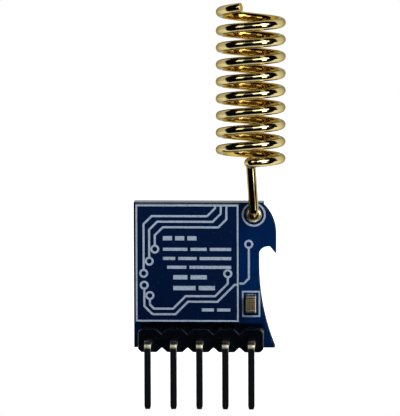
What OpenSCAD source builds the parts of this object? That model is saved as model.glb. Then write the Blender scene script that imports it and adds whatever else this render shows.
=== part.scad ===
// Radio transceiver module: a circuit board that stands on a right-angle pin header,
// with a shielded circuit on its face and a wound spring antenna at its top corner.
// X runs to the right, Y away from the viewer through the board, Z up.
// The origin is on the middle pin, where its straight leg starts below the bend.

/* [Circuit board] */
// Width of the board from its left edge to the hook
board_w = 13.95; // [13.6:0.01:16]
// Height of the board
board_h = 14.38; // [14:0.02:17]
// Thickness of the board with its coatings
board_t = 1.6; // [0.8:0.1:2.4]
// Distance from the middle pin to the left edge
board_left = 6.68; // [6.3:0.02:8]
// How far the board reaches below the start of the pins' legs
board_drop = 0.56; // [0.2:0.02:0.8]
// Radius of the round shoulder at the top right
shoulder_r = 4; // [3:0.1:5]
// Height of the shoulder's centre above the throat's centre
shoulder_rise = 2.1; // [1.2:0.1:3]
// Distance from the right edge to the small step at the top
step_inset = 1.2; // [0.8:0.01:1.6]
// Width of the throat below the hook
throat_w = 1.9; // [1:0.02:2.4]
// Depth of the throat, from the board's right edge
throat_depth = 1.68; // [1:0.02:2]
// Distance from the board's top edge down to the throat's centre
throat_down = 5.28; // [4.4:0.02:6]
// Length of the straight stretch below the throat's centre
throat_straight = 1.05; // [0.4:0.05:2]
// Height of the hook's tip above the throat's centre
tip_rise = 0.27; // [0:0.01:0.4]
// Slope of the hook's lower edge at its tip
tip_slope = 51; // [40:1:60]
// Radius of the long hollow flank
flank_r = 21.5; // [18:0.5:40]

/* [Coating and copper] */
// Thickness of the coating and of the copper lands
mask_t = 0.04; // [0.02:0.01:0.08]
// Thickness of the printed lines
print_t = 0.03; // [0.02:0.01:0.06]
// Thickness of the plating in the holes
plating_t = 0.035; // [0.02:0.005:0.06]
// Radius of the board's holes for the pins
pin_hole_r = 0.55; // [0.5:0.01:0.6]
// Width of the copper ring round a pin hole
pin_ring_w = 0.32; // [0.2:0.01:0.4]
// Radius of the board's hole for the antenna
wire_hole_r = 0.58; // [0.56:0.01:0.7]
// Width of the copper ring round the antenna hole
wire_ring_w = 0.23; // [0.2:0.01:0.4]

/* [Pin header] */
// Number of pins
pin_count = 5; // [3:2:5]
// Distance between pins
pin_pitch = 2.54; // [2.5:0.01:2.56]
// Width of a square pin
pin_w = 0.64; // [0.5:0.01:0.68]
// Length of a pin's leg from the bend to its tip
leg_len = 5.95; // [4:0.05:12]
// Radius of the bend at the middle of the pin
bend_r = 0.45; // [0.4:0.01:0.8]
// Chamfer along a pin's long edges
pin_edge = 0.05; // [0.02:0.01:0.1]
// Length of the tapered tip
tip_len = 0.3; // [0.2:0.05:1]
// Width of the tip's end
tip_w = 0.46; // [0.2:0.02:0.48]
// Gap between the block and the row of legs
leg_gap = 1.98; // [1.2:0.02:4]
// Depth of the moulded block in front of the board
block_d = 2.54; // [1.5:0.02:3]
// Height of the moulded block
block_h = 2.29; // [2:0.01:2.6]
// Width of the notch between two units, at the face
notch_w = 1.04; // [0.6:0.02:1.4]
// Depth of the notch between two units
notch_d = 0.48; // [0.2:0.02:0.6]
// What is trimmed off each end of the row
end_trim = 0.2; // [0:0.02:0.4]
// How far a pin's tail stands out of the board's back
tail_out = 1; // [0.6:0.1:2]
// Height of the solder cone on a pin's tail
pin_solder_h = 0.75; // [0.4:0.05:1]

/* [Shield cover] */
// Strip of the board left free between the cover and the hook's edge
side_strip = 3.585; // [3.4:0.005:4]
// Gap from the top of the pin block to the cover
cover_foot_gap = 0.5; // [0.2:0.01:0.8]
// How far the cover stands out from the board
cover_d = 0.85; // [0.8:0.05:1.6]
// Thickness of the cover's sheet
cover_t = 0.15; // [0.1:0.01:0.2]
// Radius of the cover's corners
cover_corner = 0.2; // [0.16:0.02:0.5]
// Gap from the board's left edge to the cover
cover_left_gap = 0.22; // [0.1:0.01:0.4]
// Gap from the board's top edge to the cover
cover_top_gap = 0.11; // [0.02:0.01:0.2]
// Width of the ground strip under the cover's walls
ground_w = 0.3; // [0.2:0.02:0.4]
// Width of the printed border line
border_w = 0.16; // [0.1:0.01:0.3]
// Gap from the cover's edge to the border line
border_gap = 0.02; // [0.01:0.01:0.2]
// Width of the other printed lines on the cover
line_w = 0.2; // [0.12:0.01:0.3]

/* [Antenna] */
// Diameter of the wire
wire_d = 0.95; // [0.7:0.01:1]
// Radius of the coil at the middle of the wire
coil_r = 2.97; // [2.4:0.01:3.6]
// Rise of the coil in one turn
coil_pitch = 1.665; // [1.2:0.005:2.4]
// Number of turns above the lead's pigtail
coil_turns = 8.705; // [6:0.005:10]
// How far the last turn springs up at its end
end_lift = 0.3; // [0:0.05:0.5]
// Distance from the board's right edge to the antenna hole
hole_inset = 2.14; // [1.9:0.01:2.6]
// Distance from the board's top edge to the antenna hole
hole_drop = 1.2; // [1.1:0.01:2]
// How far the wire's tail stands out of the board's back
wire_tail = 0.6; // [0.3:0.05:1]
// Gap between the board's face and the middle of the lead
lead_gap = 0.74; // [0.6:0.01:1.2]
// Height of the lead from the hole to the coil's pigtail
lead_len = 5.33; // [4:0.01:8]
// Backward lean of the lead and coil
lean_back = 5.7; // [0:0.1:8]
// Lean of the lead to the left, as it rises
lead_lean = 4; // [0:0.1:6]
// Sideways set of the lead from the hole
lead_set = 0.03; // [0:0.01:0.3]
// Height of the wire's bend at the board
elbow_h = 0.72; // [0.6:0.01:1]
// Radius of the bends in the pigtail
pigtail_r = 0.75; // [0.6:0.05:1]
// Height of the solder fillet round the wire
wire_solder_h = 0.2; // [0.1:0.01:0.25]

/* [Chip capacitor] */
// Length of the capacitor
cap_len = 1.65; // [1.4:0.05:2]
// Width of the capacitor
cap_w = 1; // [0.7:0.05:1.1]
// How far the capacitor stands out from the board
cap_d = 0.8; // [0.4:0.05:1]
// Length of its metal end caps
cap_end = 0.3; // [0.2:0.02:0.4]
// Distance from the board's right edge, at the hook, to the capacitor's middle
cap_inset = 2.42; // [2.3:0.01:2.6]
// Height of the capacitor's middle above the board's bottom edge
cap_rise = 4.34; // [4:0.02:6]
// Gap between the capacitor and its printed box, at the sides
cap_box_gap = 0.24; // [0.2:0.01:0.4]
// Gap between the capacitor and its printed box, at the ends
cap_box_rise = 0.39; // [0.3:0.01:0.5]

/* [Parts under the cover] */
// Width of the controller chip
controller_w = 4; // [3:0.1:4.8]
// Width of the transceiver chip
transceiver_w = 4; // [3:0.1:4.8]
// Height of both chips
chip_d = 0.55; // [0.4:0.05:0.6]
// Length of the radio crystal
crystal_len = 2; // [1.6:0.1:2.5]
// Width of the radio crystal
crystal_w = 1.6; // [1.2:0.1:2]
// Height of both crystals
crystal_d = 0.5; // [0.4:0.05:0.6]
// Length of a small chip part
chip_part_len = 1; // [0.8:0.05:1.2]
// Width of a small chip part
chip_part_w = 0.5; // [0.3:0.05:0.6]
// Height of a small chip part
chip_part_d = 0.5; // [0.3:0.05:0.6]
// Gap between the parts and from them to the cover's walls
part_gap = 0.35; // [0.3:0.05:0.4]
// Gap between neighbours in a row of small chip parts
row_gap = 0.4; // [0.3:0.05:0.5]

/* [Hidden] */
$fn = 96;

// Small overshoot of a cut past the face that it opens
cut = 0.5;
// Running gap between a wire or pin and the solder round it
fit = 0.005;

board_right = board_w - board_left;
board_bottom = -board_drop;
board_top = board_h - board_drop;
block_front = leg_gap + pin_w / 2;
face_y = block_front + block_d;
core_y = face_y + mask_t;
back_y = face_y + board_t;
core_t = board_t - 2 * mask_t;
throat_z = board_top - throat_down;
throat_left = board_right - throat_depth;
throat_r = throat_w / 2;
shoulder_z = throat_z + shoulder_rise;

pin_z = bend_r;
block_top = pin_z + block_h / 2;
block_bottom = pin_z - block_h / 2;
cover_left = cover_left_gap - board_left;
cover_right = board_right - side_strip;
cover_top = board_top - cover_top_gap;
cover_bottom = block_top + cover_foot_gap;
cover_w = cover_right - cover_left;
cover_h = cover_top - cover_bottom;
cover_y = face_y - cover_d;
bay_left = cover_left + cover_t;
bay_right = cover_right - cover_t;
bay_bottom = cover_bottom + cover_t;
bay_top = cover_top - cover_t;

hole_x = board_right - hole_inset;
hole_z = board_top - hole_drop;
wire_r = wire_d / 2;
cap_x = board_right - cap_inset;
cap_z = board_bottom + cap_rise;

// Left column under the cover, from the bottom: controller, capacitors, resistors, crystal
left_x = bay_left + part_gap;
controller_x = left_x + controller_w / 2;
controller_z = bay_bottom + part_gap + controller_w / 2;
row_lift = chip_part_len + part_gap * 0.75;
bypass_z = controller_z + controller_w / 2 - chip_part_len / 2 + row_lift;
bias_z = bypass_z + row_lift;
crystal_x = left_x + crystal_len / 2;
crystal_z = bay_top - part_gap - crystal_w / 2;
// Right column, from the top: transceiver, coils, switch, clock crystal
right_x = bay_right - part_gap;
transceiver_x = right_x - transceiver_w / 2;
transceiver_z = bay_top - part_gap - transceiver_w / 2;
coils_z = transceiver_z - transceiver_w / 2 + chip_part_len / 2 - row_lift;
clock_len = 1.6;
clock_w = 1;
clock_x = right_x - clock_len / 2;
clock_z = bay_bottom + part_gap + clock_w / 2;
switch_w = 1.1;
switch_x = right_x - switch_w / 2;
switch_z = clock_z + clock_w / 2 + part_gap + switch_w / 2;
part_step = chip_part_w + row_gap;
bypass_count = 4;
bias_count = 3;
coil_count = 3;

// Turns a flat drawing in X and Z into a slab that starts at y and is t thick.
module slab(y, t) {
    translate([0, y + t, 0]) rotate([90, 0, 0]) linear_extrude(t) children();
}

// Turns a profile round the Y axis, with its height measured away from the viewer.
module turned_on_y(x, y, z) {
    translate([x, y, z]) rotate([-90, 0, 0]) rotate_extrude() children();
}

module rectangle(x0, z0, x1, z1) {
    translate([x0, z0]) square([x1 - x0, z1 - z0]);
}

module centred_rectangle(x, z, w, h) {
    translate([x - w / 2, z - h / 2]) square([w, h]);
}

module rounded_rectangle(x0, z0, x1, z1, r) {
    rectangle(x0 + r, z0, x1 - r, z1);
    rectangle(x0, z0 + r, x1, z1 - r);
    for (x = [x0 + r, x1 - r], z = [z0 + r, z1 - r]) translate([x, z]) circle(r = r);
}

module rectangle_line(x0, z0, x1, z1, w) {
    difference() {
        rectangle(x0, z0, x1, z1);
        rectangle(x0 + w, z0 + w, x1 - w, z1 - w);
    }
}

module ring_line(x, z, r, w) {
    translate([x, z]) difference() {
        circle(r = r + w / 2);
        circle(r = r - w / 2);
    }
}

function pin_x(i) = (i - (pin_count + 1) / 2) * pin_pitch;

// Outline of the board: a rectangle with its shoulder, throat and flank cut away.
module board_outline() {
    difference() {
        rectangle(-board_left, board_bottom, board_right, board_top);
        shoulder_cut();
        throat_cut();
        flank_cut();
    }
}

module shoulder_cut() {
    difference() {
        rectangle(board_right - step_inset, shoulder_z, board_right + cut, board_top + cut);
        translate([board_right - shoulder_r, shoulder_z]) circle(r = shoulder_r);
    }
}

// The throat is round at its left and ends on the right at the hook's slanted lower edge.
module throat_cut() {
    middle = throat_left + throat_r;
    reach = 4 * throat_w;
    intersection() {
        union() {
            translate([middle, throat_z]) circle(r = throat_r);
            rectangle(throat_left, throat_z - throat_straight, board_right + cut, throat_z);
            rectangle(middle, throat_z, board_right + cut, throat_z + throat_r);
        }
        translate([board_right, throat_z + tip_rise]) rotate(-tip_slope)
            rectangle(-reach / 2, -reach, reach / 2, 0);
    }
}

module flank_cut() {
    intersection() {
        translate([throat_left + flank_r, throat_z - throat_straight])
            circle(r = flank_r, $fn = 360);
        rectangle(throat_left, board_bottom - cut, board_right + cut, throat_z - throat_straight);
    }
}

module all_holes() {
    for (i = [1 : pin_count]) translate([pin_x(i), pin_z]) circle(r = pin_hole_r);
    translate([hole_x, hole_z]) circle(r = wire_hole_r);
}

// Openings in the coating round the plated holes.
module ring_openings() {
    for (i = [1 : pin_count])
        translate([pin_x(i), pin_z]) circle(r = pin_hole_r + pin_ring_w);
    translate([hole_x, hole_z]) circle(r = wire_hole_r + wire_ring_w);
}

module ground_outline() {
    rectangle_line(cover_left, cover_bottom, cover_right, cover_top, ground_w);
}

module circuit_board() {
    color("darkkhaki") slab(core_y, core_t) difference() {
        board_outline();
        all_holes();
    }
}

module front_coating() {
    color("midnightblue") slab(face_y, mask_t) difference() {
        board_outline();
        ring_openings();
        ground_outline();
        all_lands();
    }
}

module back_coating() {
    color("midnightblue") slab(back_y - mask_t, mask_t) difference() {
        board_outline();
        ring_openings();
    }
}

// One plated hole: a ring on each face and the barrel between them.
module plated_hole(x, z, r, ring_w) {
    turned_on_y(x, face_y, z) {
        translate([r - plating_t, 0]) square([plating_t, board_t]);
        for (y = [0, board_t - mask_t])
            translate([r - plating_t, y]) square([plating_t + ring_w, mask_t]);
    }
}

module pin_plating() {
    color("gold") for (i = [1 : pin_count])
        plated_hole(pin_x(i), pin_z, pin_hole_r, pin_ring_w);
}

module antenna_plating() {
    color("gold") plated_hole(hole_x, hole_z, wire_hole_r, wire_ring_w);
}

ring_gap = 0.19;
ring_line_w = 0.18;
// The board's printed track: where it leaves the cover, its corner and its end
track_exit = 3.7;
track_in = 0.95;
track_cut = 0.5;
track_top_gap = 0.2;

// The print is clipped where the board ends.
module board_print() {
    color("lightsteelblue") slab(face_y - print_t, print_t) intersection() {
        board_outline();
        union() {
            ring_line(hole_x, hole_z, wire_hole_r + wire_ring_w + ring_gap + ring_line_w / 2,
                ring_line_w);
            rectangle_line(cap_x - cap_w / 2 - cap_box_gap - border_w,
                cap_z - cap_len / 2 - cap_box_rise - border_w / 2,
                cap_x + cap_w / 2 + cap_box_gap + border_w,
                cap_z + cap_len / 2 + cap_box_rise + border_w / 2, border_w);
            board_track(cover_right, cover_bottom + track_exit);
        }
    }
}

module board_track(x, z) {
    ring_ended_line([
        [x + line_w / 2, z],
        [x + track_in - track_cut, z],
        [x + track_in, z + track_cut],
        [x + track_in, throat_z + throat_r + track_top_gap]
    ], line_w);
}

module ground_strip() {
    color("gold") slab(face_y, mask_t) ground_outline();
}

// A drawn sheet can: a plate with four walls, open towards the board.
module shield_cover() {
    color("midnightblue") difference() {
        slab(cover_y, cover_d)
            rounded_rectangle(cover_left, cover_bottom, cover_right, cover_top, cover_corner);
        slab(cover_y + cover_t, cover_d)
            rectangle(bay_left, bay_bottom, bay_right, bay_top);
    }
}

// A printed line through a list of points, with round joints.
module print_line(points, w) {
    for (i = [0 : len(points) - 2]) {
        step = points[i + 1] - points[i];
        translate(points[i]) rotate(atan2(step[1], step[0]))
            translate([0, -w / 2]) square([norm(step), w]);
    }
    for (p = points) translate(p) circle(d = w, $fn = 24);
}

// A printed track that ends in an open ring.
ring_r = 0.34;
module ring_ended_line(points, w) {
    last = points[len(points) - 1];
    before = points[len(points) - 2];
    way = (last - before) / norm(last - before);
    print_line(concat([for (i = [0 : len(points) - 2]) points[i]], [last - way * ring_r]), w);
    ring_line(last[0], last[1], ring_r, w);
}

// Where bar i of a row starts, after the bars and spaces before it.
function bar_start(lengths, gap, i) =
    i == 0 ? 0 : bar_start(lengths, gap, i - 1) + lengths[i - 1] + gap;

// A row of plain bars with a space between them.
module bar_row(x, z, h, lengths, gap) {
    for (i = [0 : len(lengths) - 1])
        centred_rectangle(x + bar_start(lengths, gap, i) + lengths[i] / 2, z, lengths[i], h);
}

// Bars stand in rows: height above the cover's foot, start, thickness and lengths.
bar_gap = 0.3;
thin_bar = 0.3;
thick_bar = 0.42;
BAR_ROWS = [
    [8.28, 2.7, thick_bar, [0.9, 0.9, 0.9]],
    [7.19, 2.7, thin_bar, [2.4, 1.6, 2.1]],
    [6.28, 2.7, thin_bar, [1.2, 1.8, 3.1]],
    [5.41, 3.1, thin_bar, [1.9, 4.1]],
    [4.42, 3.7, thick_bar, [1.4, 1.6]],
    [3.35, 3.7, thick_bar, [2.2, 1.6]],
    [1.19, 6.5, thin_bar, [1.2, 1.3]]
];

// Tracks run as a bus: neighbours a step apart, with corners cut at 45 degrees.
bus_step = 0.55;
bus_cut = 0.8;
bus_right = 1.2;
bus_drop = 2.25;
bus_left = 0.8;
bus_count = 3;
bus_low_end = 4.8;
bus_end_step = 1.2;
module top_bus() {
    for (k = [0 : bus_count - 1]) {
        x1 = cover_w - bus_right - k * bus_step;
        z1 = cover_h - bus_drop + k * bus_step;
        x0 = bus_left + (bus_count - 1 - k) * bus_step;
        ring_ended_line([
            [x1, cover_h - border_gap - border_w / 2],
            [x1, z1 + bus_cut],
            [x1 - bus_cut, z1],
            [x0 + bus_cut, z1],
            [x0, z1 - bus_cut],
            [x0, bus_low_end + (bus_count - 1 - k) * bus_end_step]
        ], line_w);
    }
}

// Two tracks along the foot; the lower one goes on across the board.
foot_left = 0.85;
foot_z = 0.75;
foot_turn = 3.9;
foot_rise = 1.25;
foot_end = 2.6;
foot_exit = 0.4;
module foot_tracks() {
    run_z = foot_z + foot_rise;
    last_turn = cover_w - foot_exit - (track_exit - run_z);
    upper_z = foot_z + bus_step;
    upper_left = foot_left + bus_step;
    // Neighbours keep one distance round a corner when the inner one turns a little sooner.
    sooner = bus_step * tan(22.5);
    upper_rise = last_turn - sooner + foot_rise;
    ring_ended_line([
        [foot_turn - sooner + foot_rise, upper_z + foot_rise],
        [foot_turn - sooner, upper_z],
        [upper_left + bus_cut / 2, upper_z],
        [upper_left, upper_z + bus_cut / 2],
        [upper_left, foot_end]
    ], line_w);
    ring_ended_line([
        [foot_turn - sooner + foot_rise, upper_z + foot_rise],
        [last_turn - sooner, upper_z + foot_rise],
        [upper_rise, upper_z + 2 * foot_rise],
        [upper_rise, track_exit + foot_exit + 2 * ring_r]
    ], line_w);
    ring_ended_line([
        [cover_w, track_exit],
        [cover_w - foot_exit, track_exit],
        [last_turn, run_z],
        [foot_turn + foot_rise, run_z],
        [foot_turn, foot_z],
        [foot_left + bus_cut, foot_z],
        [foot_left, foot_z + bus_cut],
        [foot_left, foot_end + 3 * ring_r]
    ], line_w);
}

// The marks are clipped inside the printed border.
module cover_marks() {
    edge = border_gap + border_w / 2;
    intersection() {
        rectangle(cover_left + edge, cover_bottom + edge, cover_right - edge, cover_top - edge);
        translate([cover_left, cover_bottom]) {
            top_bus();
            foot_tracks();
            for (row = BAR_ROWS) bar_row(row[1], row[0], row[2], row[3], bar_gap);
        }
    }
}

module cover_print() {
    color("lightsteelblue") slab(cover_y - print_t, print_t) {
        rectangle_line(cover_left + border_gap, cover_bottom + border_gap,
            cover_right - border_gap, cover_top - border_gap, border_w);
        cover_marks();
    }
}

// The moulded block: a row of units with a notch above and below each joint.
module block_outline() {
    top = block_top;
    bottom = block_bottom;
    flat = (pin_pitch - notch_w) / 2;
    half = pin_pitch / 2;
    upper = [for (i = [1 : pin_count]) each [
        [pin_x(i) - half, top - notch_d],
        [pin_x(i) - flat, top],
        [pin_x(i) + flat, top]
    ]];
    lower = [for (i = [pin_count : -1 : 1]) each [
        [pin_x(i) + half, bottom + notch_d],
        [pin_x(i) + flat, bottom],
        [pin_x(i) - flat, bottom]
    ]];
    last = [
        [pin_x(pin_count) + half, top - notch_d],
        [pin_x(pin_count) + half, bottom + notch_d],
    ];
    end_x = pin_count * half - end_trim;
    intersection() {
        polygon(concat(upper, [last[0]], lower, [[pin_x(1) - half, bottom + notch_d]]));
        rectangle(-end_x, bottom, end_x, top);
    }
}

module header_block() {
    color("#17181c") difference() {
        slab(block_front, block_d) block_outline();
        for (i = [1 : pin_count]) translate([pin_x(i), 0, 0])
            slab(block_front - cut, block_d + 2 * cut) translate([0, pin_z]) pin_section();
    }
}

// Section of a pin: a square with its edges chamfered.
module pin_section() {
    a = pin_w / 2;
    b = a - pin_edge;
    polygon([[a, -b], [a, b], [b, a], [-b, a], [-a, b], [-a, -b], [-b, -a], [b, -a]]);
}

// Side view of a straight stretch that narrows to a flat tip.
module tapered_side(length) {
    polygon([
        [-pin_w / 2, 0], [pin_w / 2, 0], [pin_w / 2, length - tip_len],
        [tip_w / 2, length], [-tip_w / 2, length], [-pin_w / 2, length - tip_len]
    ]);
}

// A straight stretch along +Z with its far end tapered on all four sides.
module tapered_stretch(length) {
    intersection() {
        linear_extrude(length) pin_section();
        slab(-pin_w, 2 * pin_w) tapered_side(length);
        rotate([0, 0, 90]) slab(-pin_w, 2 * pin_w) tapered_side(length);
    }
}

module pin(i) {
    color("#2b2d30") translate([pin_x(i), 0, 0]) {
        mirror([0, 0, 1]) tapered_stretch(leg_len);
        translate([0, bend_r, 0]) rotate([90, 0, -90]) rotate_extrude(angle = 90)
            translate([bend_r, 0]) pin_section();
        translate([0, bend_r, pin_z]) rotate([-90, 0, 0])
            tapered_stretch(back_y + tail_out - bend_r);
    }
}

module pin_1() { pin(1); }
module pin_2() { pin(2); }
module pin_3() { pin(3); }
module pin_4() { pin(4); }
module pin_5() { pin(5); }

// Half section of solder in a hole: the fill and a hollow cone on the back.
module solder_section(fill_r, foot_r, top_r, depth, h) {
    steps = 6;
    cone = [for (k = [0 : steps])
        [top_r + (foot_r - top_r) * pow(1 - k / steps, 2), depth + h * k / steps]];
    polygon(concat([[0, 0], [fill_r, 0], [fill_r, depth]], cone, [[0, depth + h]]));
}

module pin_solder(i) {
    color("silver") difference() {
        turned_on_y(pin_x(i), face_y, pin_z)
            solder_section(pin_hole_r - plating_t, pin_hole_r + pin_ring_w,
                pin_w * 0.74, board_t, pin_solder_h);
        translate([pin_x(i), 0, 0]) slab(face_y - cut, board_t + pin_solder_h + 2 * cut)
            translate([0, pin_z]) pin_section();
    }
}

module pin_solder_1() { pin_solder(1); }
module pin_solder_2() { pin_solder(2); }
module pin_solder_3() { pin_solder(3); }
module pin_solder_4() { pin_solder(4); }
module pin_solder_5() { pin_solder(5); }

// Points of a round bend of radius r at corner p, on the way from a to b.
function bend(a, p, b, r, steps) =
    let (
        u = (a - p) / norm(a - p),
        w = (b - p) / norm(b - p),
        half = acos(u * w) / 2,
        start = p + u * r / tan(half),
        centre = p + (u + w) / norm(u + w) * r / sin(half),
        arm = (start - centre) / r
    )
    [for (k = [0 : steps])
        let (turn = (180 - 2 * half) * k / steps)
        centre + r * (cos(turn) * arm - sin(turn) * u)];

// Points of a smooth curve that leaves a towards b and reaches d from c.
function curve(a, b, c, d, steps) = [for (k = [0 : steps])
    let (t = k / steps, s = 1 - t)
    s * s * s * a + 3 * s * s * t * b + 3 * s * t * t * c + t * t * t * d];

function unit(v) = v / norm(v);

// The coil's axis leans back; these are its three directions.
coil_side = [1, 0, 0];
coil_back = [0, cos(lean_back), -sin(lean_back)];
coil_up = [0, sin(lean_back), cos(lean_back)];

lead_way = unit([-tan(lead_lean), tan(lean_back), 1]);
wire_start = [hole_x, back_y + wire_tail, hole_z];
wire_mouth = [hole_x, face_y, hole_z];
lead_foot = [hole_x + lead_set, face_y - lead_gap, hole_z + elbow_h];
lead_top = lead_foot + lead_way * (lead_len - elbow_h);
elbow_pull = elbow_h * 0.62;
// The coil's axis passes the lead's top; the pigtail lies just under the first turn.
pigtail_drop = 0.3;
coil_foot = lead_top + coil_up * pigtail_drop;
coil_start = -0.2;

// The last turn springs up a little more, by the square of the way along it.
lift_turns = 0.75;
function lift(t) = end_lift * pow(max(0, (t - coil_turns) / lift_turns + 1), 2);
function coil_point(t) = coil_foot + coil_up * (coil_pitch * t + lift(t))
    + coil_r * (coil_side * cos(360 * t) + coil_back * sin(360 * t));
function coil_way(t) = unit(coil_up * coil_pitch / (2 * PI * coil_r)
    - coil_side * sin(360 * t) + coil_back * cos(360 * t));

// Corner of the pigtail, straight on from the coil's first stretch.
pigtail_reach = 1.06;
pigtail = coil_point(coil_start) - coil_way(coil_start) * pigtail_reach;
ring_per_turn = 24;
coil_rings = ceil((coil_turns - coil_start) * ring_per_turn);
wire_path = concat(
    [wire_start],
    curve(wire_mouth, wire_mouth - [0, elbow_pull, 0], lead_foot - lead_way * elbow_pull,
        lead_foot, 8),
    bend(lead_foot, lead_top, pigtail, pigtail_r, 6),
    bend(lead_top, pigtail, coil_point(coil_start), pigtail_r, 6),
    [for (k = [0 : coil_rings])
        coil_point(coil_start + (coil_turns - coil_start) * k / coil_rings)]
);

// Directions along a path, and normals carried along it without twist.
function path_ways(path) = [for (i = [0 : len(path) - 1])
    unit(path[min(i + 1, len(path) - 1)] - path[max(i - 1, 0)])];
function square_to(n, way) = unit(n - (n * way) * way);
function path_normals(ways) =
    [for (i = 0, n = square_to([1, 0, 0.1], ways[0]);
        i < len(ways);
        i = i + 1, n = i < len(ways) ? square_to(n, ways[i]) : n) n];

// A round wire carried along a path as one closed surface.
module wire(path, r, sides) {
    ways = path_ways(path);
    normals = path_normals(ways);
    rings = len(path);
    points = [for (i = [0 : rings - 1], k = [0 : sides - 1])
        let (turn = 360 * k / sides)
        path[i] + r * (cos(turn) * normals[i] + sin(turn) * cross(ways[i], normals[i]))];
    walls = [for (i = [0 : rings - 2], k = [0 : sides - 1])
        let (next = (k + 1) % sides)
        [i * sides + k, (i + 1) * sides + k, (i + 1) * sides + next, i * sides + next]];
    first = [for (k = [0 : sides - 1]) k];
    last = [for (k = [sides - 1 : -1 : 0]) (rings - 1) * sides + k];
    polyhedron(points, concat([first], walls, [last]));
}

module antenna() {
    color("gold") wire(wire_path, wire_r, 12);
}

// Solder round the antenna's wire: a low fillet in front, the fill and a cone behind.
module antenna_solder() {
    // The wire starts to bend inside the front fillet, so its bore is wider there.
    front_bore = wire_r + 0.06;
    color("silver") difference() {
        union() {
            turned_on_y(hole_x, face_y, hole_z)
                solder_section(wire_hole_r - plating_t, wire_hole_r + wire_ring_w, wire_r * 1.08,
                    board_t, wire_tail * 0.75);
            translate([hole_x, face_y, hole_z]) rotate([90, 0, 0]) rotate_extrude()
                polygon(concat([[0, 0]],
                    [for (k = [0 : 4]) [wire_hole_r + wire_ring_w * pow(1 - k / 4, 2),
                        wire_solder_h * k / 4]], [[0, wire_solder_h]]));
        }
        turned_on_y(hole_x, face_y - cut, hole_z)
            square([wire_r + fit, board_t + wire_tail + 2 * cut]);
        turned_on_y(hole_x, face_y - cut, hole_z) square([front_bore, cut]);
    }
}

module capacitor_body() {
    inset = 0.01;
    color("tan") slab(face_y - cap_d + inset, cap_d - inset)
        centred_rectangle(cap_x, cap_z, cap_w - 2 * inset, cap_len - 2 * cap_end);
}

module capacitor_ends() {
    color("silver") for (s = [-1, 1]) slab(face_y - cap_d, cap_d)
        centred_rectangle(cap_x, cap_z + s * (cap_len - cap_end) / 2, cap_w, cap_end);
}

cap_land = 0.14;
module capacitor_solder() {
    color("silver") for (s = [-1, 1])
        translate([cap_x - cap_w / 2, face_y, cap_z + s * cap_len / 2])
            rotate([90, 0, 90]) linear_extrude(cap_w) polygon(concat([[0, 0]],
                [for (k = [0 : 4])
                    [-cap_d * 0.7 * pow(1 - k / 4, 2), s * cap_land * pow(k / 4, 2)]]));
}

// A moulded chip with a small dimple at its first corner.
dimple_r = 0.2;
dimple_depth = 0.05;
module chip(x, z, w, d) {
    corner = w / 2 - 2 * dimple_r;
    difference() {
        slab(face_y - d, d) centred_rectangle(x, z, w, w);
        slab(face_y - d - cut, cut + dimple_depth)
            translate([x - corner, z + corner]) circle(r = dimple_r, $fn = 24);
    }
}

module controller_chip() {
    color("#202024") chip(controller_x, controller_z, controller_w, chip_d);
}

module transceiver_chip() {
    color("#202024") chip(transceiver_x, transceiver_z, transceiver_w, chip_d);
}

module aerial_switch() {
    color("#202024") chip(switch_x, switch_z, switch_w, chip_d);
}

// A crystal is a ceramic base with a smaller metal lid.
base_share = 0.6;
lid_gap = 0.1;
module case_base(x, z, len, w) {
    color("dimgray") slab(face_y - crystal_d * base_share, crystal_d * base_share)
        centred_rectangle(x, z, len, w);
}

module case_lid(x, z, len, w) {
    color("silver") slab(face_y - crystal_d, crystal_d * (1 - base_share))
        centred_rectangle(x, z, len - 2 * lid_gap, w - 2 * lid_gap);
}

module crystal_base() { case_base(crystal_x, crystal_z, crystal_len, crystal_w); }
module crystal_lid() { case_lid(crystal_x, crystal_z, crystal_len, crystal_w); }
module clock_base() { case_base(clock_x, clock_z, clock_len, clock_w); }
module clock_lid() { case_lid(clock_x, clock_z, clock_len, clock_w); }

// Rows of small chip parts; each part is a body between two metal ends.
end_share = 0.24;
module part_places(x, z, count) {
    for (k = [0 : count - 1]) translate([x + k * part_step, z]) children();
}

module bypass_places() {
    part_places(left_x + chip_part_w / 2, bypass_z, bypass_count) children();
}

module bias_places() {
    part_places(left_x + chip_part_w / 2, bias_z, bias_count) children();
}

module coil_places() {
    part_places(right_x - chip_part_w / 2 - (coil_count - 1) * part_step, coils_z, coil_count)
        children();
}

module part_body() {
    centred_rectangle(0, 0, chip_part_w, chip_part_len * (1 - 2 * end_share));
}

module part_end_pair() {
    for (s = [-1, 1]) centred_rectangle(0, s * chip_part_len * (1 - end_share) / 2,
        chip_part_w, chip_part_len * end_share);
}

module matching_coils() {
    color("steelblue") slab(face_y - chip_part_d, chip_part_d) coil_places() part_body();
}

module bypass_capacitors() {
    color("tan") slab(face_y - chip_part_d, chip_part_d) bypass_places() part_body();
}

module bias_resistors() {
    color("#1c1c1e") slab(face_y - chip_part_d, chip_part_d) bias_places() part_body();
}

module chip_part_ends() {
    color("silver") slab(face_y - chip_part_d, chip_part_d) {
        coil_places() part_end_pair();
        bypass_places() part_end_pair();
        bias_places() part_end_pair();
    }
}

// Copper lands that the parts are soldered to, level with the coating.
land_out = 0.15;
land_in = 0.25;
chip_land_w = 0.25;
chip_land_step = 0.5;
module chip_land_rows(x, z, w) {
    count = floor((w - 2 * land_in) / chip_land_step);
    for (turn = [0 : 3], k = [0 : count - 1])
        translate([x, z]) rotate(90 * turn)
            translate([w / 2 - land_in, (k - (count - 1) / 2) * chip_land_step - chip_land_w / 2])
                square([land_in + land_out, chip_land_w]);
}

module case_lands(x, z, len, w) {
    for (sx = [-1, 1], sz = [-1, 1])
        centred_rectangle(x + sx * len / 3, z + sz * w / 3, len / 4, w / 4);
}

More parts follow.
